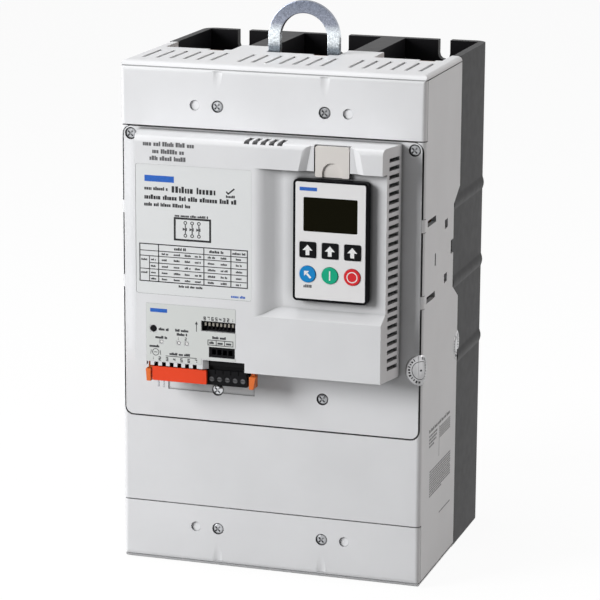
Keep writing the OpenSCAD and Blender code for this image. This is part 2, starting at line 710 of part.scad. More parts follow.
module keypad_faceplate() color([0.85, 0.85, 0.85]) at_module() difference() {
    plate_y(span(keypad_x, face_w - 0.2), span(-keypad_drop, face_h - 0.2), 1.1, [face_y, face_back]);
    plate_y(span(keypad_x, lcd_w), span(-lcd_drop, lcd_h), key_r, [face_y - 1, face_back + 1]);
    for (x = keys_at) {
        plate_y(span(keypad_x + x, key_w + 2 * key_gap), span(-arrow_drop, key_h + 2 * key_gap),
                key_r + key_gap, [face_y - 1, face_back + 1]);
        rod_y([keypad_x + x, -round_drop], round_key_r + key_gap, [face_y - 1, face_back + 1]);
    }
}
module lcd_window() color([0.07, 0.06, 0.02]) at_module() {
    plate_y(span(keypad_x, lcd_w), span(-lcd_drop, lcd_h), key_r, [face_y + 0.1, face_back + 1]);
    box(span(keypad_x, lcd_w + 3), [face_back, face_back + 1.2], span(-lcd_drop, lcd_h + 3));
}
module keypad_board() color([0.1, 0.35, 0.2]) at_module()
    box(span(keypad_x, tub_w - 2 * skin - 2 * fit_gap), [key_board_y - board_t, key_board_y],
        span(-keypad_drop, tub_h - 2 * skin - 2 * fit_gap));
// A key: its cap fills the faceplate's opening, a collar keeps it in, and a stem meets the board
stem_end = key_board_y - board_t - key_travel - 0.2;
module square_key(i) at_module() {
    plate_y(span(keypad_x + keys_at[i], key_w), span(-arrow_drop, key_h), key_r,
            [face_y - key_proud, face_back + collar_t / 2]);
    box(span(keypad_x + keys_at[i], key_w + 2 * collar), [face_back, face_back + collar_t],
        span(-arrow_drop, key_h + 2 * collar));
    rod_y([keypad_x + keys_at[i], -arrow_drop], 2, [face_back, stem_end]);
}
module round_key(i) at_module() {
    at = [keypad_x + keys_at[i], -round_drop];
    rod_y(at, round_key_r, [face_y - key_proud, face_back + collar_t / 2]);
    rod_y(at, round_key_r + collar, [face_back, face_back + collar_t]);
    rod_y(at, 2, [face_back + collar_t / 2, stem_end]);
}
module arrow_key_left() color([0.08, 0.08, 0.08]) square_key(0);
module arrow_key_middle() color([0.08, 0.08, 0.08]) square_key(1);
module arrow_key_right() color([0.08, 0.08, 0.08]) square_key(2);
module escape_key() color([0.04, 0.49, 0.77]) round_key(0);
module start_key() color([0, 0.65, 0.45]) round_key(1);
module stop_key() color([0.85, 0.15, 0.17]) round_key(2);

// The latch tab: a plate with an arched finger recess, hung from a pin at its top
module keypad_latch() color([0.84, 0.82, 0.8]) at_module() {
    difference() {
        plate_y(span(tab_x, tab_w), [-tab_top - tab_h, -tab_top], 1, [tab_y, tab_y + tab_t]);
        rod_y([tab_x, finger_z], finger_r, [tab_y - 1, tab_y + tab_t / 2]);
        box(span(tab_x, 2 * finger_r), [tab_y - 1, tab_y + tab_t / 2], [-tab_top - tab_h - 1, finger_z]);
    }
    rod_x([tab_y + tab_t / 2, tab_pin_z], tab_pin_r, span(tab_x, notch_w + 2.4));
}

// The control board and what stands on it

module control_board() color([0.1, 0.35, 0.2]) at_module() difference() {
    union() {
        box(board_x, [-board_y, -board_y + board_t], board_z);
        // Push switch behind the reset button, and the controller chip
        box(span(reset_x, switch_w), [-board_y - switch_t, -board_y + 0.2], span(-reset_drop, switch_w));
        box(span(-module_l + chip_in, chip_w), [-board_y - 1.6, -board_y + 0.2], span(-chip_drop, chip_w));
    }
    for (at = board_screws_at) rod_y(at, 1.6, [-board_y - 1, 0]);
}
module board_screws() color("silver") at_module() for (at = board_screws_at) {
    rod_y(at, 2.6, [-board_y + board_t, -board_y + board_t + 1.6]);
    rod_y(at, 1, [-board_y - 5, -board_y + board_t + 0.1]);
}
// A rod through the panel with a collar behind the wall, a travel's length off the switch
module reset_button() color([0.06, 0.06, 0.07]) at_module() {
    at = [reset_x, -reset_drop];
    rod_y(at, reset_r, [face_y - 0.4, -board_y - switch_t - reset_travel - 0.2]);
    rod_y(at, reset_r + 1, [face_y + skin, face_y + skin + 1]);
}
module dip_switch_block() color([0.08, 0.08, 0.08]) at_module() difference() {
    box(span(dip_x, dip_w), [dip_front, -board_y], span(-dip_drop, dip_h));
    for (i = [1:dip_n])
        box(span(dip_place(i), slider_w + 0.3), [dip_front - 1, dip_front + slider_deep], slider_slot);
}
slider_slot = span(-dip_drop, slider_h + dip_travel + 0.4);
function dip_place(i) = dip_x + (i - (dip_n + 1) / 2) * dip_pitch;
module dip_slider(i) color("white") at_module()
    box(span(dip_place(i), slider_w), [dip_front - slider_out, dip_front + slider_deep],
        [slider_slot[1] - 0.2 - slider_h, slider_slot[1] - 0.2]);
module expansion_port() color([0.08, 0.08, 0.08]) at_module() difference() {
    box(span(port_x, port_w), [face_y + 0.4, -board_y], span(-port_drop, port_h));
    for (i = [-1.5:1.5]) box(span(port_x + i * 3.6, 2.6), [face_y, face_y + 6], span(-port_drop, 3.4));
}
module status_light_pipes() color([0.8, 0.82, 0.8]) at_module() {
    for (at = lights_at) rod_y(at, light_r, [face_y, -board_y]);
    box([lights_at[0][0], lights_at[2][0]], [-board_y - 1.5, -board_y], span(lights_at[1][1], 1));
}

// The header on the board takes the plug from below, and its ears hold the release levers
module terminal_header() color([0.09, 0.09, 0.1]) at_module() difference() {
    union() {
        box(span(plug_x, plug_w + 2), header_y, header_z);
        for (y = [[header_y[0], lever_y[0] - fit_gap], [lever_y[1] + fit_gap, header_y[1]]])
            box(span(plug_x, plug_w + 9), y, [header_z[0], lever_pin_z + 2.2]);
    }
    box(span(plug_x, plug_w - 1 + 2 * fit_gap), [tongue_y[0] - fit_gap, tongue_y[1] + fit_gap],
        [header_z[0] - 1, tongue_top + tongue_room]);
    for (s = [-1, 1]) rod_y([plug_x + s * lever_pin_x, lever_pin_z], lever_pin_r + 0.05, header_y + [-1, 1]);
}
module terminal_plug() color([0.08, 0.08, 0.09]) at_module() difference() {
    union() {
        box(span(plug_x, plug_w), plug_y, [plug_low, plug_top]);
        box(span(plug_x, plug_w - 1), tongue_y, [plug_top - 1, tongue_top]);
    }
    for (x = way_x) {
        rod_y([x, screw_row], 1.8, [plug_y[0] - 1, plug_y[0] + 3]);
        rod_z([x, (plug_y[0] + plug_y[1]) / 2], 1.4, [plug_low - 1, plug_low + 6]);
    }
    // Marks between the ways on the upper front edge
    for (x = way_x)
        box(span(x + way_pitch / 2, 0.6), [plug_y[0] - 1, plug_y[0] + 0.6], [plug_top - 2.5, plug_top + 1]);
}
module terminal_screws() color("silver") at_module() for (x = way_x) difference() {
    rod_y([x, screw_row], 1.55, [plug_y[0] + 0.3, plug_y[0] + 3]);
    box(span(x, 2.6), [plug_y[0], plug_y[0] + 0.9], span(screw_row, 0.5));
}
// A flap over the left terminals, hollow where it clears their screws and the wire link
guard_x = [way_x[0] - way_pitch / 2 - 0.2, way_x[guard_ways - 1] + way_pitch / 2];
guard_t = 1.1;
guard_y = [plug_y[0] - 2.3, plug_y[0]];
module terminal_guard() color([0.93, 0.31, 0.14]) at_module() difference() {
    plate_y(guard_x, [plug_low + 0.4, plug_top - 0.2], 0.8, guard_y);
    box(guard_x + [guard_t, -guard_t], [guard_y[0] + guard_t, guard_y[1] + 1],
        [plug_low - 1, plug_top - 1.4]);
}
link_r = 0.5;
module jumper_link() color("silver") at_module() {
    y = plug_y[0] - link_r;
    bridge_z = plug_top - 2.6;
    for (i = [0, 1]) rod_z([way_x[i] + (i == 0 ? 0.8 : -0.8), y], link_r, [plug_low - 4, bridge_z]);
    rod_x([y, bridge_z], link_r, [way_x[0] + 0.8 - link_r, way_x[1] - 0.8 + link_r]);
}
// A lever on a pin, with a finger grip below the module
module release_lever(side) {
    at = [plug_x + side * lever_pin_x, lever_pin_z];
    rod_y(at, lever_r, lever_y);
    rod_y(at, lever_pin_r, [header_y[0] + 0.2, header_y[1] - 0.2]);
    box(span(at[0], 2 * lever_r), lever_y, [plug_low - 0.8, lever_pin_z]);
    along_y([plug_y[0] - 0.9, lever_y[0] + 1]) polygon([
        [at[0] - lever_r, plug_low - 0.8], [at[0] + lever_r, plug_low - 0.8],
        [at[0] + lever_r + max(side, 0) * 1.6, plug_top - 2.4],
        [at[0] - lever_r - max(-side, 0) * 0.6, plug_top - 2.4]]);
}
module release_lever_left() color([0.94, 0.51, 0.24]) at_module() release_lever(-1);
module release_lever_right() color([0.94, 0.51, 0.24]) at_module() release_lever(1);

// The power parts inside

driver_y = panel_t + wall + 13;
driver_w = 172;
driver_z = [panel_z + 8, high_split - 18];
post_in = 6;
coil_w = 24;
coil_h = 30;
coil_d = 10;
function driver_posts() = [
    for (s = [-1, 1], z = driver_z + [post_in, -post_in]) [s * (driver_w / 2 - post_in), z]];
module driver_board() color([0.1, 0.35, 0.2]) at_front() {
    box(span(0, driver_w), [driver_y, driver_y + board_t], driver_z);
    for (x = poles)
        box(span(x, coil_w), [driver_y + board_t - 0.1, driver_y + board_t + coil_d],
            span((panel_z + high_split) / 2, coil_h));
}
module heat_sink() color([0.7, 0.71, 0.72]) at_front() along_z(sink_z) {
    w = base_in_w - 2;
    translate([-w, sink_y]) square([2 * w, 8]);
    n = floor((w - 2) / fin_pitch);
    for (k = [-n:n]) translate([k * fin_pitch - 1.2, sink_y + 7]) square([2.4, back_in_y - sink_y - 7]);
}
module thyristor_module(p) color([0.2, 0.2, 0.22]) at_front() {
    box(span(poles[p - 1], pole_block_w), [sink_y - thyristor_d + 2, sink_y], span(middle_z, thyristor_h));
    for (s = [-1, 1]) box(span(poles[p - 1], contact_w), [grey_d + bar_t, sink_y - thyristor_d + 3],
        span(middle_z + s * (thyristor_h / 2 - contact_h), contact_h));
}
module busbar(p, flip) at_front() translate([0, 0, flip * body_h]) mirror([0, 0, flip]) difference() {
    box(span(poles[p - 1], bar_w), [grey_d, grey_d + bar_t], [lug_in - bar_w / 2, middle_z - contact_h]);
    rod_y([poles[p - 1], lug_in], lug_r, [grey_d - 1, grey_d + bar_t + 1]);
}
module line_busbar(p) color([0.8, 0.55, 0.4]) busbar(p, 1);
module load_busbar(p) color([0.8, 0.55, 0.4]) busbar(p, 0);
// A contactor bridges the two bars of its pole from the front
module bypass_contactor(p) color([0.25, 0.25, 0.28]) at_front() {
    box(span(poles[p - 1], pole_block_w), [grey_d - contactor_d, grey_d - bar_t],
        span(middle_z, contactor_h));
    for (s = [-1, 1]) box(span(poles[p - 1], contact_w), [grey_d - bar_t - 1, grey_d],
        span(middle_z + s * (contactor_h / 2 - contact_h / 3), contact_h / 2));
}
module current_transformer(p) color([0.12, 0.12, 0.13]) at_front() difference() {
    around = transformer_wall + fit_gap;
    box(span(poles[p - 1], pole_block_w), [grey_d - around, grey_d + bar_t + around],
        [shelf_in + wall, shelf_in + wall + transformer_h]);
    box(span(poles[p - 1], bar_w + 2 * fit_gap), [grey_d - fit_gap, grey_d + bar_t + fit_gap],
        [shelf_in, shelf_in + wall + transformer_h + 1]);
}

base_housing();
main_housing();
upper_cover();
lower_cover();
control_cover();
lifting_hoop();
upper_cover_screws();
lower_cover_screws();
panel_screws();
board_screws();
keypad_body();
keypad_faceplate();
lcd_window();
keypad_board();
keypad_latch();
arrow_key_left();
arrow_key_middle();
arrow_key_right();
escape_key();
start_key();
stop_key();
control_board();
reset_button();
dip_switch_block();
expansion_port();
status_light_pipes();
terminal_header();
terminal_plug();
terminal_screws();
terminal_guard();
release_lever_left();
release_lever_right();
jumper_link();
driver_board();
heat_sink();
for (i = [1:dip_n]) dip_slider(i);
for (p = [1:3]) {
    thyristor_module(p);
    bypass_contactor(p);
    line_busbar(p);
    load_busbar(p);
    current_transformer(p);
}
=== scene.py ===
import math
import random

import bmesh
import bpy
from mathutils import Matrix, Vector


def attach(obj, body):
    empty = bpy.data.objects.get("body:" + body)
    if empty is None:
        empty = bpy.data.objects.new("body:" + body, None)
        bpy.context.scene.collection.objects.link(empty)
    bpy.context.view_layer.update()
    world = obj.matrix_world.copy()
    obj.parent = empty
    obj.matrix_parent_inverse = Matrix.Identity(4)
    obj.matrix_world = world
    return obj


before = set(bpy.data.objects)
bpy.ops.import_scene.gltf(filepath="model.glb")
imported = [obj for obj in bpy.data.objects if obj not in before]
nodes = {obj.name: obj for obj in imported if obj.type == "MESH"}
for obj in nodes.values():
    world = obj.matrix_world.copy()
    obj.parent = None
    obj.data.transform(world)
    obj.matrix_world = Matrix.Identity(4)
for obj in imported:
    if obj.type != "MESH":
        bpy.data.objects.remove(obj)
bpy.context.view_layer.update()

# Lengths are in millimetres, except those of the floor and the lamps, which are in metres.
# X runs to the right, depth runs back from the grey front face, and Z runs up.
MM = 0.001
FRONT_Y = -67.0      # Y of the grey front face
FACE = -23.4         # depth of the control module's face
LABEL_FLOOR = -23.0  # depth of the label pocket's floor
KEY_FRONT = -24.0    # depth of the keys' faces
SIDE_X = 98.0        # X of the grey right side
BASE_X = 96.8        # X of the black side behind it
GREY_DEPTH = 86.0    # depth at which the grey side ends
CORNER_R = 3.0       # round of the right front edge
INK_T = 0.05         # thickness of print
LABEL_T = 0.25       # thickness of the rating label
STICKER_T = 0.12     # thickness of the film over the controls
FOIL_T = 0.12        # thickness of the seals
APART = 0.02         # gap between the strokes of a figure, each of which is a solid of its own


# Materials

def new_material(name, colour, rough, metallic=0.0, specular=0.5):
    """Makes a material with these values; gives it, its nodes and its shader."""
    mat = bpy.data.materials.new(name)
    mat.use_nodes = True
    shader = mat.node_tree.nodes["Principled BSDF"]
    shader.inputs["Base Color"].default_value = (*colour, 1.0)
    shader.inputs["Roughness"].default_value = rough
    shader.inputs["Metallic"].default_value = metallic
    shader.inputs["Specular IOR Level"].default_value = specular
    return mat, mat.node_tree, shader


def add(tree, kind, **values):
    """Adds a node and sets its sockets and settings by name."""
    node = tree.nodes.new(kind)
    for key, value in values.items():
        if key in node.inputs:
            node.inputs[key].default_value = value
        else:
            setattr(node, key, value)
    return node


def noise(tree, scale, detail=3.0, stretch=(1.0, 1.0, 1.0)):
    """Noise in object space, in features per metre along each axis."""
    coords = add(tree, "ShaderNodeTexCoord")
    mapping = add(tree, "ShaderNodeMapping", Scale=stretch)
    texture = add(tree, "ShaderNodeTexNoise", Scale=scale, Detail=detail)
    tree.links.new(coords.outputs["Object"], mapping.inputs["Vector"])
    tree.links.new(mapping.outputs["Vector"], texture.inputs["Vector"])
    return texture.outputs["Fac"]


def remap(tree, value, low, high, from_low=0.3, from_high=0.7):
    """Maps a range, such as the middle of a noise's, onto low to high."""
    node = add(tree, "ShaderNodeMapRange")
    node.inputs["From Min"].default_value = from_low
    node.inputs["From Max"].default_value = from_high
    node.inputs["To Min"].default_value = low
    node.inputs["To Max"].default_value = high
    tree.links.new(value, node.inputs["Value"])
    return node.outputs["Result"]


def blend_colours(tree, factor, a, b):
    """Runs from colour a to colour b as factor runs from 0 to 1."""
    mix = add(tree, "ShaderNodeMix", data_type="RGBA")
    for socket in mix.inputs:
        if socket.type == "RGBA" and socket.name == "A":
            socket.default_value = (*a, 1.0)
        if socket.type == "RGBA" and socket.name == "B":
            socket.default_value = (*b, 1.0)
    tree.links.new(factor, mix.inputs["Factor"])
    return [out for out in mix.outputs if out.type == "RGBA"][0]


def bump(tree, shader, height, strength, depth):
    node = add(tree, "ShaderNodeBump", Strength=strength, Distance=depth * MM)
    tree.links.new(height, node.inputs["Height"])
    tree.links.new(node.outputs["Normal"], shader.inputs["Normal"])


def shade(colour, factor):
    return tuple(min(1.0, c * factor) for c in colour)


def painted_occlusion_shade(tree, colour, reach):
    """Painted shade: an ambient occlusion node darkens a colour in gaps, slots and sinks that are narrower
    than about reach, where shade falls.
    """
    if not reach:
        return colour
    painted_shade_node = add(tree, "ShaderNodeAmbientOcclusion", samples=8, Distance=reach * MM)
    tree.links.new(colour, painted_shade_node.inputs["Color"])
    return painted_shade_node.outputs["Color"]


def plastic(name, colour, rough=0.45, spread=0.03, grain=1500.0, depth=0.04, strength=0.25,
            specular=0.45, crease_shade_reach=0.0, recess_shade_reach=0.0):
    """Moulded plastic: faint clouding, uneven gloss and a fine eroded texture; painted shade darkens its
    colour in gaps and slots within a short reach and, within a longer reach, in recesses and round raised
    parts.
    """
    mat, tree, shader = new_material(name, colour, rough, specular=specular)
    clouds = remap(tree, noise(tree, 22.0, 4.0), 0.0, 1.0)
    clouded = blend_colours(tree, clouds, shade(colour, 1.0 - spread), shade(colour, 1.0 + spread))
    # Painted shade: the colour is darkened in creases and, with the longer reach, in the recesses round
    # raised parts.
    painted_shade_colour = painted_occlusion_shade(tree, painted_occlusion_shade(tree, clouded, crease_shade_reach), recess_shade_reach)
    tree.links.new(painted_shade_colour, shader.inputs["Base Color"])
    gloss = remap(tree, noise(tree, 160.0), rough - 0.02, rough + 0.02)
    tree.links.new(gloss, shader.inputs["Roughness"])
    bump(tree, shader, noise(tree, grain, 2.0), strength, depth)
    return mat


def metal(name, colour, rough, tint=(1.0, 1.0, 1.0), crease_shade_reach=0.0):
    """Plated or bare metal with fine drawn lines and a clouded finish; where a reach is given, painted
    shade darkens its colour in slots and round sunk heads.
    """
    mat, tree, shader = new_material(name, colour, rough, metallic=1.0)
    clouds = remap(tree, noise(tree, 70.0, 5.0, (1.0, 1.0, 0.5)), 0.0, 1.0, 0.36, 0.64)
    dull = tuple(c * t for c, t in zip(shade(colour, 0.62), tint))
    clouded = blend_colours(tree, clouds, dull, shade(colour, 1.15))
    # Painted shade, where a reach is given: darker colour in slots and round sunk heads.
    tree.links.new(painted_occlusion_shade(tree, clouded, crease_shade_reach), shader.inputs["Base Color"])
    lines = noise(tree, 500.0, 3.0, (1.0, 1.0, 14.0))
    tree.links.new(remap(tree, lines, rough - 0.08, rough + 0.1), shader.inputs["Roughness"])
    bump(tree, shader, lines, 0.15, 0.05)
    return mat


def zinc_plate(name, painted_light_tones, rough):
    """Zinc plate with crystal specks, whose tone runs through (height, colour) steps that paint light and
    shade onto it by height.
    """
    mat, tree, shader = new_material(name, painted_light_tones[-1][1], rough, metallic=1.0)
    coords = add(tree, "ShaderNodeTexCoord")
    split = add(tree, "ShaderNodeSeparateXYZ")
    tree.links.new(coords.outputs["Object"], split.inputs[0])
    low, high = painted_light_tones[0][0], painted_light_tones[-1][0]
    # The tone ramp by height is painted light: bands that are lighter and darker according to how the light
    # falls.
    ramp = add(tree, "ShaderNodeValToRGB")
    share = remap(tree, split.outputs["Z"], 0.0, 1.0, low * MM, high * MM)
    tree.links.new(share, ramp.inputs["Fac"])
    steps = ramp.color_ramp.elements
    for _ in painted_light_tones[2:]:
        steps.new(0.5)
    for step, (height, colour) in zip(steps, painted_light_tones):
        step.position = (height - low) / (high - low)
        step.color = (*colour, 1.0)
    specks = add(tree, "ShaderNodeVectorMath", operation="SCALE")
    tree.links.new(ramp.outputs["Color"], specks.inputs[0])
    sparkle = remap(tree, noise(tree, 900.0, 5.0), 0.8, 1.25, 0.36, 0.66)
    tree.links.new(sparkle, specks.inputs["Scale"])
    tree.links.new(specks.outputs[0], shader.inputs["Base Color"])
    grain = noise(tree, 700.0, 3.0)
    tree.links.new(remap(tree, grain, rough - 0.06, rough + 0.1), shader.inputs["Roughness"])
    bump(tree, shader, grain, 0.15, 0.05)
    return mat


def ink(name, colour):
    """Screen print: slightly uneven cover."""
    mat, tree, shader = new_material(name, colour, 0.5, specular=0.3)
    cover = remap(tree, noise(tree, 900.0, 2.0), 0.0, 1.0)
    uneven = blend_colours(tree, cover, shade(colour, 0.9), shade(colour, 1.1))
    tree.links.new(uneven, shader.inputs["Base Color"])
    return mat


def circuit_board(name):
    """Solder mask over faint upright tracks."""
    mask, between, track = (0.02, 0.12, 0.05), (0.015, 0.1, 0.045), (0.04, 0.2, 0.09)
    mat, tree, shader = new_material(name, mask, 0.4)
    tracks = remap(tree, noise(tree, 240.0, 1.0, (1.0, 1.0, 0.12)), 0.0, 1.0, 0.48, 0.56)
    tree.links.new(blend_colours(tree, tracks, between, track), shader.inputs["Base Color"])
    bump(tree, shader, tracks, 0.2, 0.03)
    return mat


GREY = (0.745, 0.75, 0.765)
FILM = {"spread": 0.012, "grain": 2600.0, "depth": 0.01, "strength": 0.15}
mats = {
    # The shells get painted shade: darker colour in their gaps, slots and sinks, and on the panel also in
    # the wide recess round the control module.
    "grey": plastic("grey_shell", GREY, 0.42, specular=0.3, crease_shade_reach=4.0),
    # The covers' grey is the shell grey made 3 % lighter: partly their own tone and partly painted light
    # for the brighter light on them.
    "grey_cover": plastic("grey_cover_shell", shade(GREY, 1.03), 0.42, specular=0.3, crease_shade_reach=1.0),
    "grey_panel": plastic("grey_panel_shell", GREY, 0.38, specular=0.3, crease_shade_reach=2.0, recess_shade_reach=8.0),
    "black": plastic("black_base", (0.008, 0.0078, 0.009), 0.42, spread=0.05, depth=0.02,
                     strength=0.15, specular=0.075),
    "black_part": plastic("black_part", (0.006, 0.006, 0.007), 0.45, spread=0.1, specular=0.08),
    "rim": plastic("keypad_rim", (0.003, 0.003, 0.004), 0.35, spread=0.1, specular=0.06),
    # Painted light on the hoop: nearly black at its foot, a painted highlight band from 330.5 to 336.5 mm,
    # and darker again towards the top.
    "zinc": zinc_plate("zinc_plate", (
        (318.0, (0.06, 0.07, 0.08)), (326.0, (0.2, 0.23, 0.26)), (330.5, (0.8, 0.85, 0.88)),
        (336.5, (0.74, 0.79, 0.83)), (341.5, (0.26, 0.28, 0.34)), (356.0, (0.16, 0.18, 0.23))), 0.28),
    # Both screw metals get painted shade in their cross slots and round their heads.
    "steel": metal("screw_steel", (0.56, 0.57, 0.59), 0.24, crease_shade_reach=1.6),
    "dark_steel": metal("terminal_steel", (0.12, 0.12, 0.125), 0.36, crease_shade_reach=1.6),
    "faceplate": plastic("keypad_film", (0.8, 0.795, 0.8), 0.36, spread=0.015, grain=2600.0,
                         depth=0.02, strength=0.2),
    "glass": plastic("display_window", (0.005, 0.0045, 0.0008), 0.14, spread=0.1, grain=300.0,
                     depth=0.01, strength=0.05, specular=0.035),
    "board": circuit_board("solder_mask"),
    "beige": plastic("latch_shell", (0.71, 0.68, 0.65), 0.4, specular=0.3),
    "key_black": plastic("key_black", (0.004, 0.004, 0.005), 0.4, spread=0.1, specular=0.08),
    "key_blue": plastic("key_blue", (0.003, 0.23, 0.57), 0.36, spread=0.05, specular=0.25),
    "key_green": plastic("key_green", (0.0, 0.38, 0.21), 0.34, spread=0.05, specular=0.3),
    "key_red": plastic("key_red", (0.68, 0.018, 0.026), 0.34, spread=0.05, specular=0.3),
    "white": plastic("white_part", (0.8, 0.8, 0.79), 0.4),
    "orange": plastic("guard_orange", (0.82, 0.06, 0.014), 0.35, spread=0.05, specular=0.3),
    "lever": plastic("lever_orange", (0.76, 0.17, 0.035), 0.38, spread=0.05, specular=0.3),
    # The switch sliders get painted shade in the narrow gaps round them.
    "slider": plastic("switch_slider", (0.32, 0.3, 0.26), 0.4, specular=0.3, crease_shade_reach=2.0),
    "aluminium": metal("sink_aluminium", (0.72, 0.73, 0.74), 0.38),
    "inner": plastic("inner_block", (0.06, 0.06, 0.065), 0.5, spread=0.1),
    "copper": metal("bare_copper", (0.74, 0.45, 0.3), 0.34, tint=(1.0, 0.9, 0.85)),
    "label": plastic("label_film", (0.74, 0.755, 0.76), 0.32, **FILM),
    "sticker": plastic("control_film", (0.66, 0.68, 0.665), 0.34, **FILM),
    "seal": metal("seal_foil", (0.56, 0.56, 0.57), 0.42),
    "ink_black": ink("print_black", (0.012, 0.012, 0.014)),
    "ink_grey": ink("print_grey", (0.045, 0.046, 0.05)),
    "ink_mid": ink("print_mid", (0.11, 0.11, 0.115)),
    "ink_pale": ink("print_pale", (0.2, 0.2, 0.205)),
    "ink_blue": ink("print_blue", (0.02, 0.12, 0.5)),
    "ink_white": ink("print_white", (0.85, 0.85, 0.85)),
}


# The CAD nodes keep their shapes: their sharp edges are eased and they get their finish

WELD_REACH = 0.002
FLAT_ANGLE = math.radians(0.3)
EASED_ANGLE = math.radians(35.0)
SMOOTH_ANGLE = math.radians(32.0)
CRISP_ANGLE = math.radians(21.0)


def smooth_by_angle(limit):
    """Node group that shades faces smooth, apart from edges sharper than limit."""
    group = bpy.data.node_groups.new("smooth_by_angle", "GeometryNodeTree")
    group.interface.new_socket("Geometry", in_out="INPUT", socket_type="NodeSocketGeometry")
    group.interface.new_socket("Geometry", in_out="OUTPUT", socket_type="NodeSocketGeometry")
    first = group.nodes.new("NodeGroupInput")
    last = group.nodes.new("NodeGroupOutput")
    bare = group.nodes.new("GeometryNodeRemoveAttribute")
    bare.inputs["Name"].default_value = "custom_normal"
    faces = group.nodes.new("GeometryNodeSetShadeSmooth")
    faces.domain = "FACE"
    faces.inputs["Shade Smooth"].default_value = True
    edges = group.nodes.new("GeometryNodeSetShadeSmooth")
    edges.domain = "EDGE"
    edges.inputs["Shade Smooth"].default_value = False
    angle = group.nodes.new("GeometryNodeInputMeshEdgeAngle")
    sharp = group.nodes.new("ShaderNodeMath")
    sharp.operation = "GREATER_THAN"
    sharp.inputs[1].default_value = limit
    link = group.links.new
    link(first.outputs[0], bare.inputs["Geometry"])
    link(bare.outputs["Geometry"], faces.inputs["Geometry"])
    link(faces.outputs["Geometry"], edges.inputs["Geometry"])
    link(angle.outputs["Unsigned Angle"], sharp.inputs[0])
    link(sharp.outputs[0], edges.inputs["Selection"])
    link(edges.outputs["Geometry"], last.inputs[0])
    return group


SMOOTH = smooth_by_angle(SMOOTH_ANGLE)
CRISP = smooth_by_angle(CRISP_ANGLE)


def dress(name, mat, ease):
    """Gives a CAD node its finish and rounds its sharp edges by ease."""
    obj = nodes[name]
    if not obj.material_slots:
        obj.data.materials.append(mats[mat])
    for slot in obj.material_slots:
        slot.material = mats[mat]
    weld = obj.modifiers.new("weld", "WELD")
    weld.merge_threshold = WELD_REACH * MM
    if ease:
        flat = obj.modifiers.new("flat", "DECIMATE")
        flat.decimate_type = "DISSOLVE"
        flat.angle_limit = FLAT_ANGLE
        edge = obj.modifiers.new("edge", "BEVEL")
        edge.width = ease * MM
        edge.segments = 2
        edge.limit_method = "ANGLE"
        edge.angle_limit = EASED_ANGLE
        edge.use_clamp_overlap = True
    smooth = obj.modifiers.new("smooth", "NODES")
    smooth.node_group = CRISP if name == "control_cover" else SMOOTH
    normals = obj.modifiers.new("normals", "WEIGHTED_NORMAL")
    normals.keep_sharp = True
    normals.weight = 100


# Material and ease of each node; the screws' cross cuts are too fine to ease
FINISH = {
    "base_housing": ("black", 0.5),
    "main_housing": ("grey", 0.25),
    "upper_cover": ("grey_cover", 0.25),
    "lower_cover": ("grey_cover", 0.25),
    "control_cover": ("grey_panel", 0.25),
    "lifting_hoop": ("zinc", 0.6),
    "upper_cover_screws": ("steel", 0.0),
    "lower_cover_screws": ("steel", 0.0),
    "panel_screws": ("steel", 0.0),
    "board_screws": ("steel", 0.0),
    "keypad_body": ("rim", 0.4),
    "keypad_faceplate": ("faceplate", 0.15),
    "lcd_window": ("glass", 0.1),
    "keypad_board": ("board", 0.0),
    "keypad_latch": ("beige", 0.4),
    "arrow_key_left": ("key_black", 0.3),
    "arrow_key_middle": ("key_black", 0.3),
    "arrow_key_right": ("key_black", 0.3),
    "escape_key": ("key_blue", 0.3),
    "start_key": ("key_green", 0.3),
    "stop_key": ("key_red", 0.3),
    "control_board": ("board", 0.0),
    "reset_button": ("black_part", 0.2),
    "dip_switch_block": ("black_part", 0.15),
    "expansion_port": ("black_part", 0.2),
    "status_light_pipes": ("white", 0.15),
    "terminal_header": ("black_part", 0.2),
    "terminal_plug": ("black_part", 0.25),
    "terminal_screws": ("dark_steel", 0.1),
    "terminal_guard": ("orange", 0.25),
    "release_lever_left": ("lever", 0.3),
    "release_lever_right": ("lever", 0.3),
    "jumper_link": ("steel", 0.0),
    "driver_board": ("board", 0.0),
    "heat_sink": ("aluminium", 0.2),
}
for name in nodes:
    if name in FINISH:
        dress(name, *FINISH[name])
    elif name.startswith("dip_slider"):
        dress(name, "slider", 0.15)
    elif "busbar" in name:
        dress(name, "copper", 0.4)
    else:
        dress(name, "inner", 0.4)


# Print, film and foil: thin closed solids that lie on the surface that carries them. A place turns
# (u, v), a point on that surface, and h, a height over it, into a point of the frame.

def on_front(depth):
    """A plane that faces the front; u is X and v is Z."""
    return lambda u, v, h: Vector((u, FRONT_Y + depth - h, v)) * MM


def on_right(x):
    """A plane that faces right; u is the depth and v is Z."""
    return lambda u, v, h: Vector((x + h, FRONT_Y + u, v)) * MM


def bent(path, z):
    """An upright surface round height z; path(u) gives X, depth and the outward normal in plan."""
    def place(u, v, h):
        x, depth, nx, nd = path(u)
        return Vector((x + nx * h, FRONT_Y + depth + nd * h, z + v)) * MM
    return place


def rectangle(u0, v0, u1, v1):
    return [(u0, v0), (u1, v0), (u1, v1), (u0, v1)]


def rounded(u0, v0, u1, v1, r, n=5):
    """A rectangle with round corners of n steps."""
    pts = []
    for cu, cv, start in ((u1 - r, v0 + r, -90), (u1 - r, v1 - r, 0),
                          (u0 + r, v1 - r, 90), (u0 + r, v0 + r, 180)):
        for i in range(n + 1):
            a = math.radians(start + 90 * i / n)
            pts.append((cu + r * math.cos(a), cv + r * math.sin(a)))
    return pts


def circle(u, v, r, n):
    turns = [2 * math.pi * i / n for i in range(n)]
    return [(u + r * math.cos(turn), v + r * math.sin(turn)) for turn in turns]


# The straight strokes of a plain figure, as on a seven-part display
FIGURES = {"1": "bc", "2": "abged", "3": "abgcd", "4": "fgbc", "5": "afgcd", "6": "afgedc", "7": "abc",
           "8": "abcdefg"}


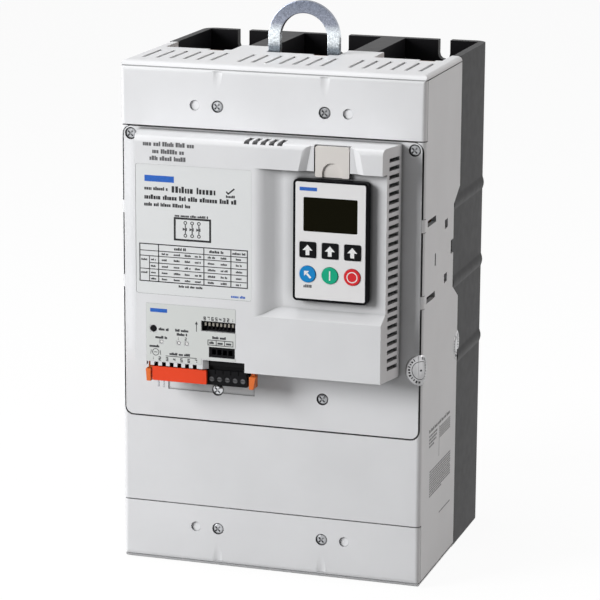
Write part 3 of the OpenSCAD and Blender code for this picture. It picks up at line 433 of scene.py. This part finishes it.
class Sheet:
    """A group of thin solids drawn on a surface, which becomes one piece."""

    def __init__(self, name, body, slot, mat, place, base=0.0, thick=INK_T):
        self.name, self.body, self.slot, self.mat = name, body, slot, mat
        self.place, self.base, self.top = place, base, base + thick
        self.bm = bmesh.new()

    def loop(self, pts, h):
        return [self.bm.verts.new(self.place(u, v, h)) for u, v in pts]

    def solid(self, rings, hole=False):
        """A solid over rings of equally many points, the innermost first."""
        low = [self.loop(pts, self.base) for pts in rings]
        high = [self.loop(pts, self.top) for pts in rings]
        face = self.bm.faces.new
        if not hole:
            face(high[0])
            face(low[0][::-1])
        n = len(rings[0])
        for i in range(n):
            j = (i + 1) % n
            for k in range(len(rings) - 1):
                face((high[k][i], high[k + 1][i], high[k + 1][j], high[k][j]))
                face((low[k][j], low[k + 1][j], low[k + 1][i], low[k][i]))
            face((low[-1][i], low[-1][j], high[-1][j], high[-1][i]))
            if hole:
                face((low[0][j], low[0][i], high[0][i], high[0][j]))

    def poly(self, pts):
        self.solid([pts])

    def rect(self, u0, v0, u1, v1):
        self.poly(rectangle(u0, v0, u1, v1))

    def ring(self, u, v, r, width, n=40):
        self.solid([circle(u, v, r - width / 2, n), circle(u, v, r + width / 2, n)], hole=True)

    def cut_out(self, outline, windows):
        """A sheet of any outline with rectangular windows."""
        edges = []
        for pts in [outline] + [rectangle(*window) for window in windows]:
            verts = self.loop(pts, self.base)
            edges += [self.bm.edges.new((verts[i - 1], verts[i])) for i in range(len(verts))]
        filled = bmesh.ops.triangle_fill(self.bm, edges=edges, use_dissolve=True, use_beauty=True)
        faces = [part for part in filled["geom"] if isinstance(part, bmesh.types.BMFace)]
        raised = bmesh.ops.extrude_face_region(self.bm, geom=faces, use_keep_orig=True)
        verts = [part for part in raised["geom"] if isinstance(part, bmesh.types.BMVert)]
        lift = self.place(0.0, 0.0, self.top) - self.place(0.0, 0.0, self.base)
        bmesh.ops.translate(self.bm, verts=verts, vec=lift)

    def line(self, a, b, width):
        """A straight bar of this width from a to b."""
        d = Vector((b[0] - a[0], b[1] - a[1])).normalized() * (width / 2)
        self.poly([(a[0] + d.y, a[1] - d.x), (b[0] + d.y, b[1] - d.x),
                   (b[0] - d.y, b[1] + d.x), (a[0] - d.y, a[1] + d.x)])

    def frame(self, u0, v0, u1, v1, width):
        """The outline of a rectangle, drawn along its edges."""
        w = width / 2
        self.cut_out(rectangle(u0 - w, v0 - w, u1 + w, v1 + w), [(u0 + w, v0 + w, u1 - w, v1 - w)])

    def words(self, u, v, width, height, seed, fill=0.8):
        """A line of unreadable print: small upright blocks in groups."""
        rnd = random.Random(seed)
        end = u + width
        while u < end - 0.5 * height:
            for _ in range(rnd.randint(3, 7)):
                w = height * rnd.choice((0.4, 0.55, 0.6, 0.65))
                if u + w > end:
                    break
                self.rect(u, v, u + w * fill, v + height * rnd.choice((0.74, 0.74, 1.0)))
                u += w
            u += 0.45 * height

    def small_print(self, u, v, width, height, seed):
        """A line of print too fine to show letters: one bar for each word."""
        rnd = random.Random(seed)
        end = u + width
        while u < end - height:
            word = min(height * rnd.uniform(1.6, 5.0), end - u)
            self.rect(u, v, u + word, v + height)
            u += word + 0.6 * height

    def digit(self, figure, u, v, height, stroke):
        """A plain figure made of straight strokes, centred on u and standing on v."""
        w = height * 0.5
        left, right = u - w / 2, u + w / 2
        foot, middle, head = v, v + height / 2, v + height
        s = stroke / 2
        level = {"a": head, "g": middle, "d": foot}
        upright = {"b": (right, middle, head), "c": (right, foot, middle),
                   "e": (left, foot, middle), "f": (left, middle, head)}
        for key in FIGURES[figure]:
            if key in level:
                self.line((left - s, level[key]), (right + s, level[key]), stroke)
            else:
                x, low, high = upright[key]
                self.line((x, low + s + APART), (x, high - s - APART), stroke)

    def done(self, smooth=False):
        """Turns the drawing into a piece that rides on its body."""
        mesh = bpy.data.meshes.new(self.name)
        bmesh.ops.recalc_face_normals(self.bm, faces=self.bm.faces)
        self.bm.to_mesh(mesh)
        self.bm.free()
        if smooth:
            mesh.shade_smooth()
        mesh.materials.append(mats[self.mat])
        obj = bpy.data.objects.new(self.name, mesh)
        bpy.context.collection.objects.link(obj)
        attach(obj, self.body)


# Lines of print above the label. A line's numbers are u, v, width, height and seed, and then the fill.
head = Sheet("head_print", "housing", "key_black", "ink_mid", on_front(FACE))
head.words(-74.4, 274.9, 34.2, 2.7, 1)
head.words(-68.3, 270.4, 21.8, 2.7, 2)
head.words(-70.1, 266.1, 25.8, 2.7, 3)
head.done()

# Rating label in its pocket: lines of print, a tick, a diagram in a frame and a table
label_place = on_front(LABEL_FLOOR)
film = Sheet("rating_label", "housing", "faceplate", "label", label_place, 0.0, LABEL_T)
film.poly(rounded(-79.4, 182.1, -4.5, 263.4, 1.4))
film.done()

label = Sheet("rating_print", "housing", "key_black", "ink_black", label_place, LABEL_T)
label.words(-73.7, 247.4, 16.6, 2.2, 4)
label.words(-55.9, 246.6, 32.0, 4.0, 5, 0.7)
label.words(-73.7, 241.7, 61.3, 2.9, 6)
label.words(-73.9, 237.4, 31.9, 2.3, 7)
label.line((-20.6, 249.4), (-19.2, 247.9), 0.9)
label.line((-19.5, 247.9), (-15.4, 251.4), 0.9)
label.words(-20.8, 245.6, 6.0, 1.6, 12)
label.words(-54.0, 231.7, 21.9, 1.5, 8)
label.frame(-54.0, 217.4, -31.0, 230.8, 1.25)

COLUMNS = (-77.0, -70.7, -64.7, -35.1, -17.6, -7.0)
ROWS = (213.5, 209.3, 206.0, 201.7, 197.8, 193.5, 190.0)
HALF_ROWS = (3, 5)  # these rows' lines leave the first column open
OUTER_LINE, COLUMN_LINE, ROW_LINE = 0.65, 0.6, 0.5
label.frame(COLUMNS[0], ROWS[-1], COLUMNS[-1], ROWS[0], OUTER_LINE)
for i, z in enumerate(ROWS[1:-1], 1):
    label.line((COLUMNS[1] if i in HALF_ROWS else COLUMNS[0], z), (COLUMNS[-1], z), ROW_LINE)
for x in COLUMNS[2:-1]:
    label.line((x, ROWS[-1]), (x, ROWS[0]), COLUMN_LINE)
label.line((COLUMNS[1], ROWS[-1]), (COLUMNS[1], ROWS[2]), ROW_LINE)

HEADING_Z = ROWS[1] + 1.2
label.words(-54.5, HEADING_Z, 8.5, 1.7, 9)
label.words(-31.6, HEADING_Z, 9.5, 1.7, 10)
label.words(-16.6, HEADING_Z, 8.6, 1.5, 11)
CELLS = ((-62.6, 4.6), (-54.8, 4.6), (-47.6, 4.2), (-41.0, 4.6), (-32.6, 5.4), (-24.2, 4.6), (-14.4, 4.2))
for i in range(1, 6):
    z = (ROWS[i] + ROWS[i + 1]) / 2 - 0.65
    for j, (x, width) in enumerate(CELLS):
        label.words(x, z, width, 1.3, 20 + 8 * i + j)
    if i > 1:
        label.words(-69.7, z, 3.8, 1.2, 70 + i)
label.words(-76.0, 203.0, 4.4, 1.3, 80)
label.words(-76.2, 194.8, 4.6, 1.3, 81)
label.words(-51.6, 187.3, 16.3, 1.5, 82)
label.done()

diagram = Sheet("rating_diagram", "housing", "key_black", "ink_grey", label_place, LABEL_T)
for x in (-47.1, -42.7, -38.3):
    diagram.ring(x, 228.2, 0.9, 0.55, 16)
    diagram.ring(x, 220.2, 0.9, 0.55, 16)
    diagram.line((x, 221.4), (x, 227.0), 0.6)
    diagram.poly([(x - 1.7, 223.2), (x + 0.2, 224.2), (x - 1.7, 225.2)])
    diagram.line((x + 0.7, 223.2), (x + 0.7, 225.2), 0.6)
diagram.done()

bars = Sheet("rating_colour_bar", "housing", "key_blue", "ink_blue", label_place, LABEL_T)
bars.rect(-73.6, 252.7, -54.4, 256.6)
bars.words(-17.5, 183.4, 9.8, 1.6, 83)
bars.done()

# Film over the controls. Notches leave the switches and the port open, windows the button and the lights.
film = Sheet("control_sticker", "housing", "faceplate", "sticker", on_front(FACE), 0.0, STICKER_T)
film.cut_out(
    [(-72.9, 139.4), (-37.0, 139.4), (-37.0, 143.2), (-14.6, 143.2), (-14.6, 144.6), (-31.9, 144.6),
     (-31.9, 151.3), (-14.6, 151.3), (-14.6, 160.8), (-37.0, 160.8), (-37.0, 167.6), (-14.6, 167.6),
     (-14.6, 176.0), (-72.9, 176.0)],
    [(-70.7, 157.7, -65.9, 162.5), (-64.4, 150.6, -61.6, 153.4), (-53.0, 150.6, -50.2, 153.4),
     (-47.8, 150.6, -45.0, 153.4)])
film.done()

marks = Sheet("control_print", "housing", "key_black", "ink_grey", on_front(FACE), STICKER_T)
BOLD = 0.95
marks.words(-64.9, 159.1, 7.0, 1.8, 90, BOLD)
marks.words(-54.0, 159.2, 9.6, 1.7, 91, BOLD)
marks.words(-53.0, 156.7, 7.6, 1.7, 92, BOLD)
marks.digit("1", -52.4, 153.9, 1.8, 0.34)
marks.digit("2", -47.0, 153.9, 1.8, 0.34)
marks.words(-67.1, 153.9, 7.9, 1.7, 93, BOLD)
marks.words(-71.0, 148.1, 8.2, 1.6, 94, BOLD)
DIAL_X, DIAL_Z = -66.9, 145.1
marks.ring(DIAL_X, DIAL_Z, 2.1, 0.4, 28)
marks.line((-68.0, DIAL_Z), (-65.8, DIAL_Z), 0.4)
for side in (-1, 1):
    marks.line((DIAL_X + side * 2.9, 146.4), (DIAL_X + side * 3.3, 143.6), 0.35)
marks.words(-57.8, 143.9, 14.6, 1.6, 95, BOLD)
marks.line((-60.3, 143.1), (-39.9, 143.1), 0.45)
WAY_PITCH, SWITCH_PITCH, SWITCH_X = 4.77, 2.54, -25.7
for i in range(7):
    marks.digit(str(i + 1), -69.0 + i * WAY_PITCH, 140.1, 2.0, 0.52)
for i in range(8):
    marks.digit(str(8 - i), SWITCH_X + (i - 3.5) * SWITCH_PITCH, 168.1, 1.9, 0.5)
marks.line((-40.0, 160.2), (-40.0, 164.9), 0.5)
marks.poly([(-41.0, 164.8), (-39.0, 164.8), (-40.0, 166.8)])
marks.words(-29.7, 156.5, 9.2, 1.7, 96, BOLD)
marks.frame(-32.5, 152.4, -16.2, 155.6, 0.45)
for x in (-27.1, -21.6):
    marks.line((x, 152.6), (x, 155.4), 0.45)
for i, x in enumerate((-31.6, -26.2, -20.7)):
    marks.words(x, 153.2, 4.0, 1.6, 97 + i, BOLD)
marks.done()

bars = Sheet("control_colour_bar", "housing", "key_blue", "ink_blue", on_front(FACE), STICKER_T)
bars.rect(-70.4, 170.6, -59.2, 173.0)
bars.done()


# Signs on the keys: three arrows, a slanting arrow, a bar and a ring

def key_sign(key):
    return Sheet(key + "_sign", key, "white_plastic", "ink_white", on_front(KEY_FRONT))


KEYPAD_X, KEY_PITCH = 45.7, 14.1
ARROW_Z, ROUND_Z = 281.0 - 63.9, 281.0 - 79.0
for i, name in enumerate(("arrow_key_left", "arrow_key_middle", "arrow_key_right")):
    sign = key_sign(name)
    x = KEYPAD_X + (i - 1) * KEY_PITCH
    sign.rect(x - 1.2, ARROW_Z - 3.2, x + 1.2, ARROW_Z - 0.2)
    sign.poly([(x - 3.2, ARROW_Z - 0.2), (x + 3.2, ARROW_Z - 0.2), (x, ARROW_Z + 3.2)])
    sign.done()
sign = key_sign("escape_key")
x = KEYPAD_X - KEY_PITCH
sign.line((x + 2.1, ROUND_Z - 2.1), (x - 0.4, ROUND_Z + 0.4), 1.3)
sign.poly([(x - 2.1, ROUND_Z - 1.1), (x + 1.1, ROUND_Z + 2.1), (x - 2.1, ROUND_Z + 2.1)])
sign.done()
sign = key_sign("start_key")
sign.rect(KEYPAD_X - 0.4, ROUND_Z - 2.9, KEYPAD_X + 0.4, ROUND_Z + 2.9)
sign.done()
sign = key_sign("stop_key")
sign.ring(KEYPAD_X + KEY_PITCH, ROUND_Z, 3.15, 0.6)
sign.done()

# Colour bar and a short line of print on the keypad's face
bars = Sheet("keypad_colour_bar", "keypad", "key_blue", "ink_blue", on_front(FACE))
bars.rect(26.2, 253.4, 37.2, 255.6)
bars.done()
marks = Sheet("keypad_print", "keypad", "key_black", "ink_mid", on_front(FACE))
marks.words(29.0, 193.6, 5.6, 1.9, 110)
marks.done()

# Print block on the right side: a heading, two columns, a dense block and a line below
side = Sheet("side_print", "housing", "key_black", "ink_pale", on_right(SIDE_X))
COLUMNS_Z, BLOCK_Z = 92.4, 69.0
side.words(20.0, 95.4, 53.4, 2.3, 200)
for i, width in enumerate((19.4, 18.6, 17.0, 11.6)):
    side.small_print(20.4, COLUMNS_Z - i * 2.2, width, 1.3, 201 + i)
side.line((44.8, 74.0), (44.8, 94.0), 0.6)
for i in range(6):
    side.small_print(46.0, COLUMNS_Z - i * 1.3, 26.0, 0.75, 210 + i)
for i in range(11):
    side.small_print(22.4, BLOCK_Z - i * 1.6, 51.4 if i < 10 else 30.0, 0.95, 220 + i)
side.small_print(47.4, 35.6, 27.0, 0.8, 240)
side.done()


# Two round foil seals, each bent over the edge that it bridges

def front_corner(s):
    """Round the right front edge: negative s lies on the front, positive on the side."""
    half = CORNER_R * math.pi / 4
    if s < -half:
        return SIDE_X - CORNER_R + (s + half), 0.0, 0.0, -1.0
    if s > half:
        return SIDE_X, CORNER_R + (s - half), 1.0, 0.0
    a = math.pi / 4 + s / CORNER_R
    nx, nd = math.sin(a), -math.cos(a)
    return SIDE_X - CORNER_R + CORNER_R * nx, CORNER_R + CORNER_R * nd, nx, nd


def grey_to_black(s):
    """Across the step from the grey side down to the black side, which the foil bridges in a slope."""
    start, slope = 0.3, 2.5
    t = min(1.0, max(0.0, (s + start) / slope))
    return SIDE_X + (BASE_X - SIDE_X) * t, GREY_DEPTH + s, 1.0, 0.0


SEAL_MARKS = 26
SEAL_BREAKS = (7, 8, 20, 21)  # marks left out, at the top and at the bottom


def seal(name, path, z, r):
    """A foil with a printed ring, a round of small marks and a dot in the middle."""
    place = bent(path, z)
    foil = Sheet(name, "housing", "faceplate", "seal", place, 0.0, FOIL_T)
    foil.solid([circle(0.0, 0.0, r * k / 24, 40) for k in (1, 3, 6, 9, 12, 15, 18, 21, 24)])
    foil.done(smooth=True)
    marks = Sheet(name + "_print", "housing", "key_black", "ink_black", place, FOIL_T)
    marks.ring(0.0, 0.0, 0.58 * r, 0.04 * r)
    marks.poly(circle(0.0, 0.0, 0.07 * r, 12))
    rnd = random.Random(name)
    for i in range(SEAL_MARKS):
        if i not in SEAL_BREAKS:
            turn = 2 * math.pi * i / SEAL_MARKS
            c, s = math.cos(turn), math.sin(turn)
            r0, r1, w = 0.7 * r, r * rnd.choice((0.83, 0.87)), r * rnd.choice((0.035, 0.055))
            marks.poly([(u * c - v * s, u * s + v * c) for u, v in rectangle(r0, -w, r1, w)])
    marks.done(smooth=True)


seal("edge_seal", front_corner, 141.0, 9.8)
seal("joint_seal", grey_to_black, 137.0, 9.5)


# Stage: floor, light and camera

WHITE = (1.0, 1.0, 1.0)
FLOOR_R, FLOOR_DROP = 6.0, 0.0002
FLOOR_GREY, FLOOR_SPREAD = 0.33, 0.01
FLOOR_GLOW, GLOW_SHARE = 1.18, 0.8  # what the background's rays see; the rest is lit paper with its shadow
FILL_LIGHT = 0.05
LAMPS = (  # name, place, aim, size, power in watts, colour
    ("key", (-1.35, -1.3, 0.85), (0.0, 0.0, 0.2), 0.9, 42.5, WHITE),
    ("side", (1.7, 0.08, 0.75), (0.1, 0.0, 0.2), 0.5, 8.4, (1.0, 0.95, 0.92)),
    ("top", (-0.25, 0.0, 1.9), (0.0, 0.0, 0.3), 0.7, 12.5, WHITE),
)


def seen_directly(tree):
    """1 for the rays that show the background: from the camera, in gloss and through glass."""
    path = add(tree, "ShaderNodeLightPath")
    total = path.outputs["Is Camera Ray"]
    for ray in ("Is Glossy Ray", "Is Transmission Ray"):
        either = add(tree, "ShaderNodeMath", operation="MAXIMUM")
        tree.links.new(total, either.inputs[0])
        tree.links.new(path.outputs[ray], either.inputs[1])
        total = either.outputs[0]
    return total


def mix_shaders(tree, share, first, second, output):
    """Leads first and second to the output, with this share of the second."""
    mix = add(tree, "ShaderNodeMixShader")
    tree.links.new(share, mix.inputs[0])
    tree.links.new(first.outputs[0], mix.inputs[1])
    tree.links.new(second.outputs[0], mix.inputs[2])
    tree.links.new(mix.outputs[0], tree.nodes[output].inputs["Surface"])


def floor_material():
    """Pale paper that shows white to the camera and keeps the object's shadow."""
    mat, tree, shader = new_material("floor_paper", (FLOOR_GREY,) * 3, 0.9, specular=0.1)
    paper = blend_colours(tree, noise(tree, 3.0), (FLOOR_GREY - FLOOR_SPREAD,) * 3,
                          (FLOOR_GREY + FLOOR_SPREAD,) * 3)
    tree.links.new(paper, shader.inputs["Base Color"])
    glow = add(tree, "ShaderNodeEmission", Strength=FLOOR_GLOW)
    share = add(tree, "ShaderNodeMath", operation="MULTIPLY")
    share.inputs[1].default_value = GLOW_SHARE
    tree.links.new(seen_directly(tree), share.inputs[0])
    mix_shaders(tree, share.outputs[0], shader, glow, "Material Output")
    return mat


mesh = bpy.data.meshes.new("floor")
bm = bmesh.new()
bmesh.ops.create_circle(bm, cap_ends=True, radius=FLOOR_R, segments=64)
bm.to_mesh(mesh)
bm.free()
mesh.materials.append(floor_material())
floor = bpy.data.objects.new("floor", mesh)
floor.location.z = -FLOOR_DROP
bpy.context.collection.objects.link(floor)

world = bpy.data.worlds.new("studio")
bpy.context.scene.world = world
world.use_nodes = True
tree = world.node_tree
plain = tree.nodes["Background"]
plain.inputs["Color"].default_value = (*WHITE, 1.0)
plain.inputs["Strength"].default_value = FILL_LIGHT
backdrop = add(tree, "ShaderNodeBackground", Color=(*WHITE, 1.0), Strength=1.0)
mix_shaders(tree, seen_directly(tree), plain, backdrop, "World Output")


def area_light(name, place, aim, size, power, colour):
    data = bpy.data.lights.new(name, "AREA")
    data.color = colour
    data.shape = "SQUARE"
    data.size = size
    data.energy = power
    obj = bpy.data.objects.new(name, data)
    obj.location = place
    obj.rotation_mode = "QUATERNION"
    obj.rotation_quaternion = (Vector(aim) - Vector(place)).to_track_quat("-Z", "Y")
    bpy.context.collection.objects.link(obj)


for lamp in LAMPS:
    area_light(*lamp)

# Camera at the photograph's viewing angle: its place, its angles in radians, and its focal length in pixels
# of a frame 600 pixels wide
CAM_X, CAM_DEPTH, CAM_Z = 513.19, -1563.91, 572.77
YAW, PITCH, ROLL = 0.3058, 0.2353, 0.0057
FOCAL, FRAME_WIDTH, SENSOR = 2733.3, 600.0, 36.0
ahead = Vector((-math.sin(YAW) * math.cos(PITCH), math.cos(YAW) * math.cos(PITCH), -math.sin(PITCH)))
right = Vector((math.cos(YAW), math.sin(YAW), 0.0))
up = right.cross(ahead)
turned = right * math.cos(ROLL) + up * math.sin(ROLL)
upright = up * math.cos(ROLL) - right * math.sin(ROLL)
data = bpy.data.cameras.new("camera")
data.sensor_width = SENSOR
data.lens = FOCAL / FRAME_WIDTH * SENSOR
data.clip_start, data.clip_end = 0.05, 50.0
camera = bpy.data.objects.new("camera", data)
turn = Matrix((turned, upright, -ahead)).transposed().to_4x4()
camera.matrix_world = Matrix.Translation(Vector((CAM_X, CAM_DEPTH + FRONT_Y, CAM_Z)) * MM) @ turn
bpy.context.collection.objects.link(camera)
bpy.context.scene.camera = camera
bpy.context.scene.view_settings.view_transform = "Standard"
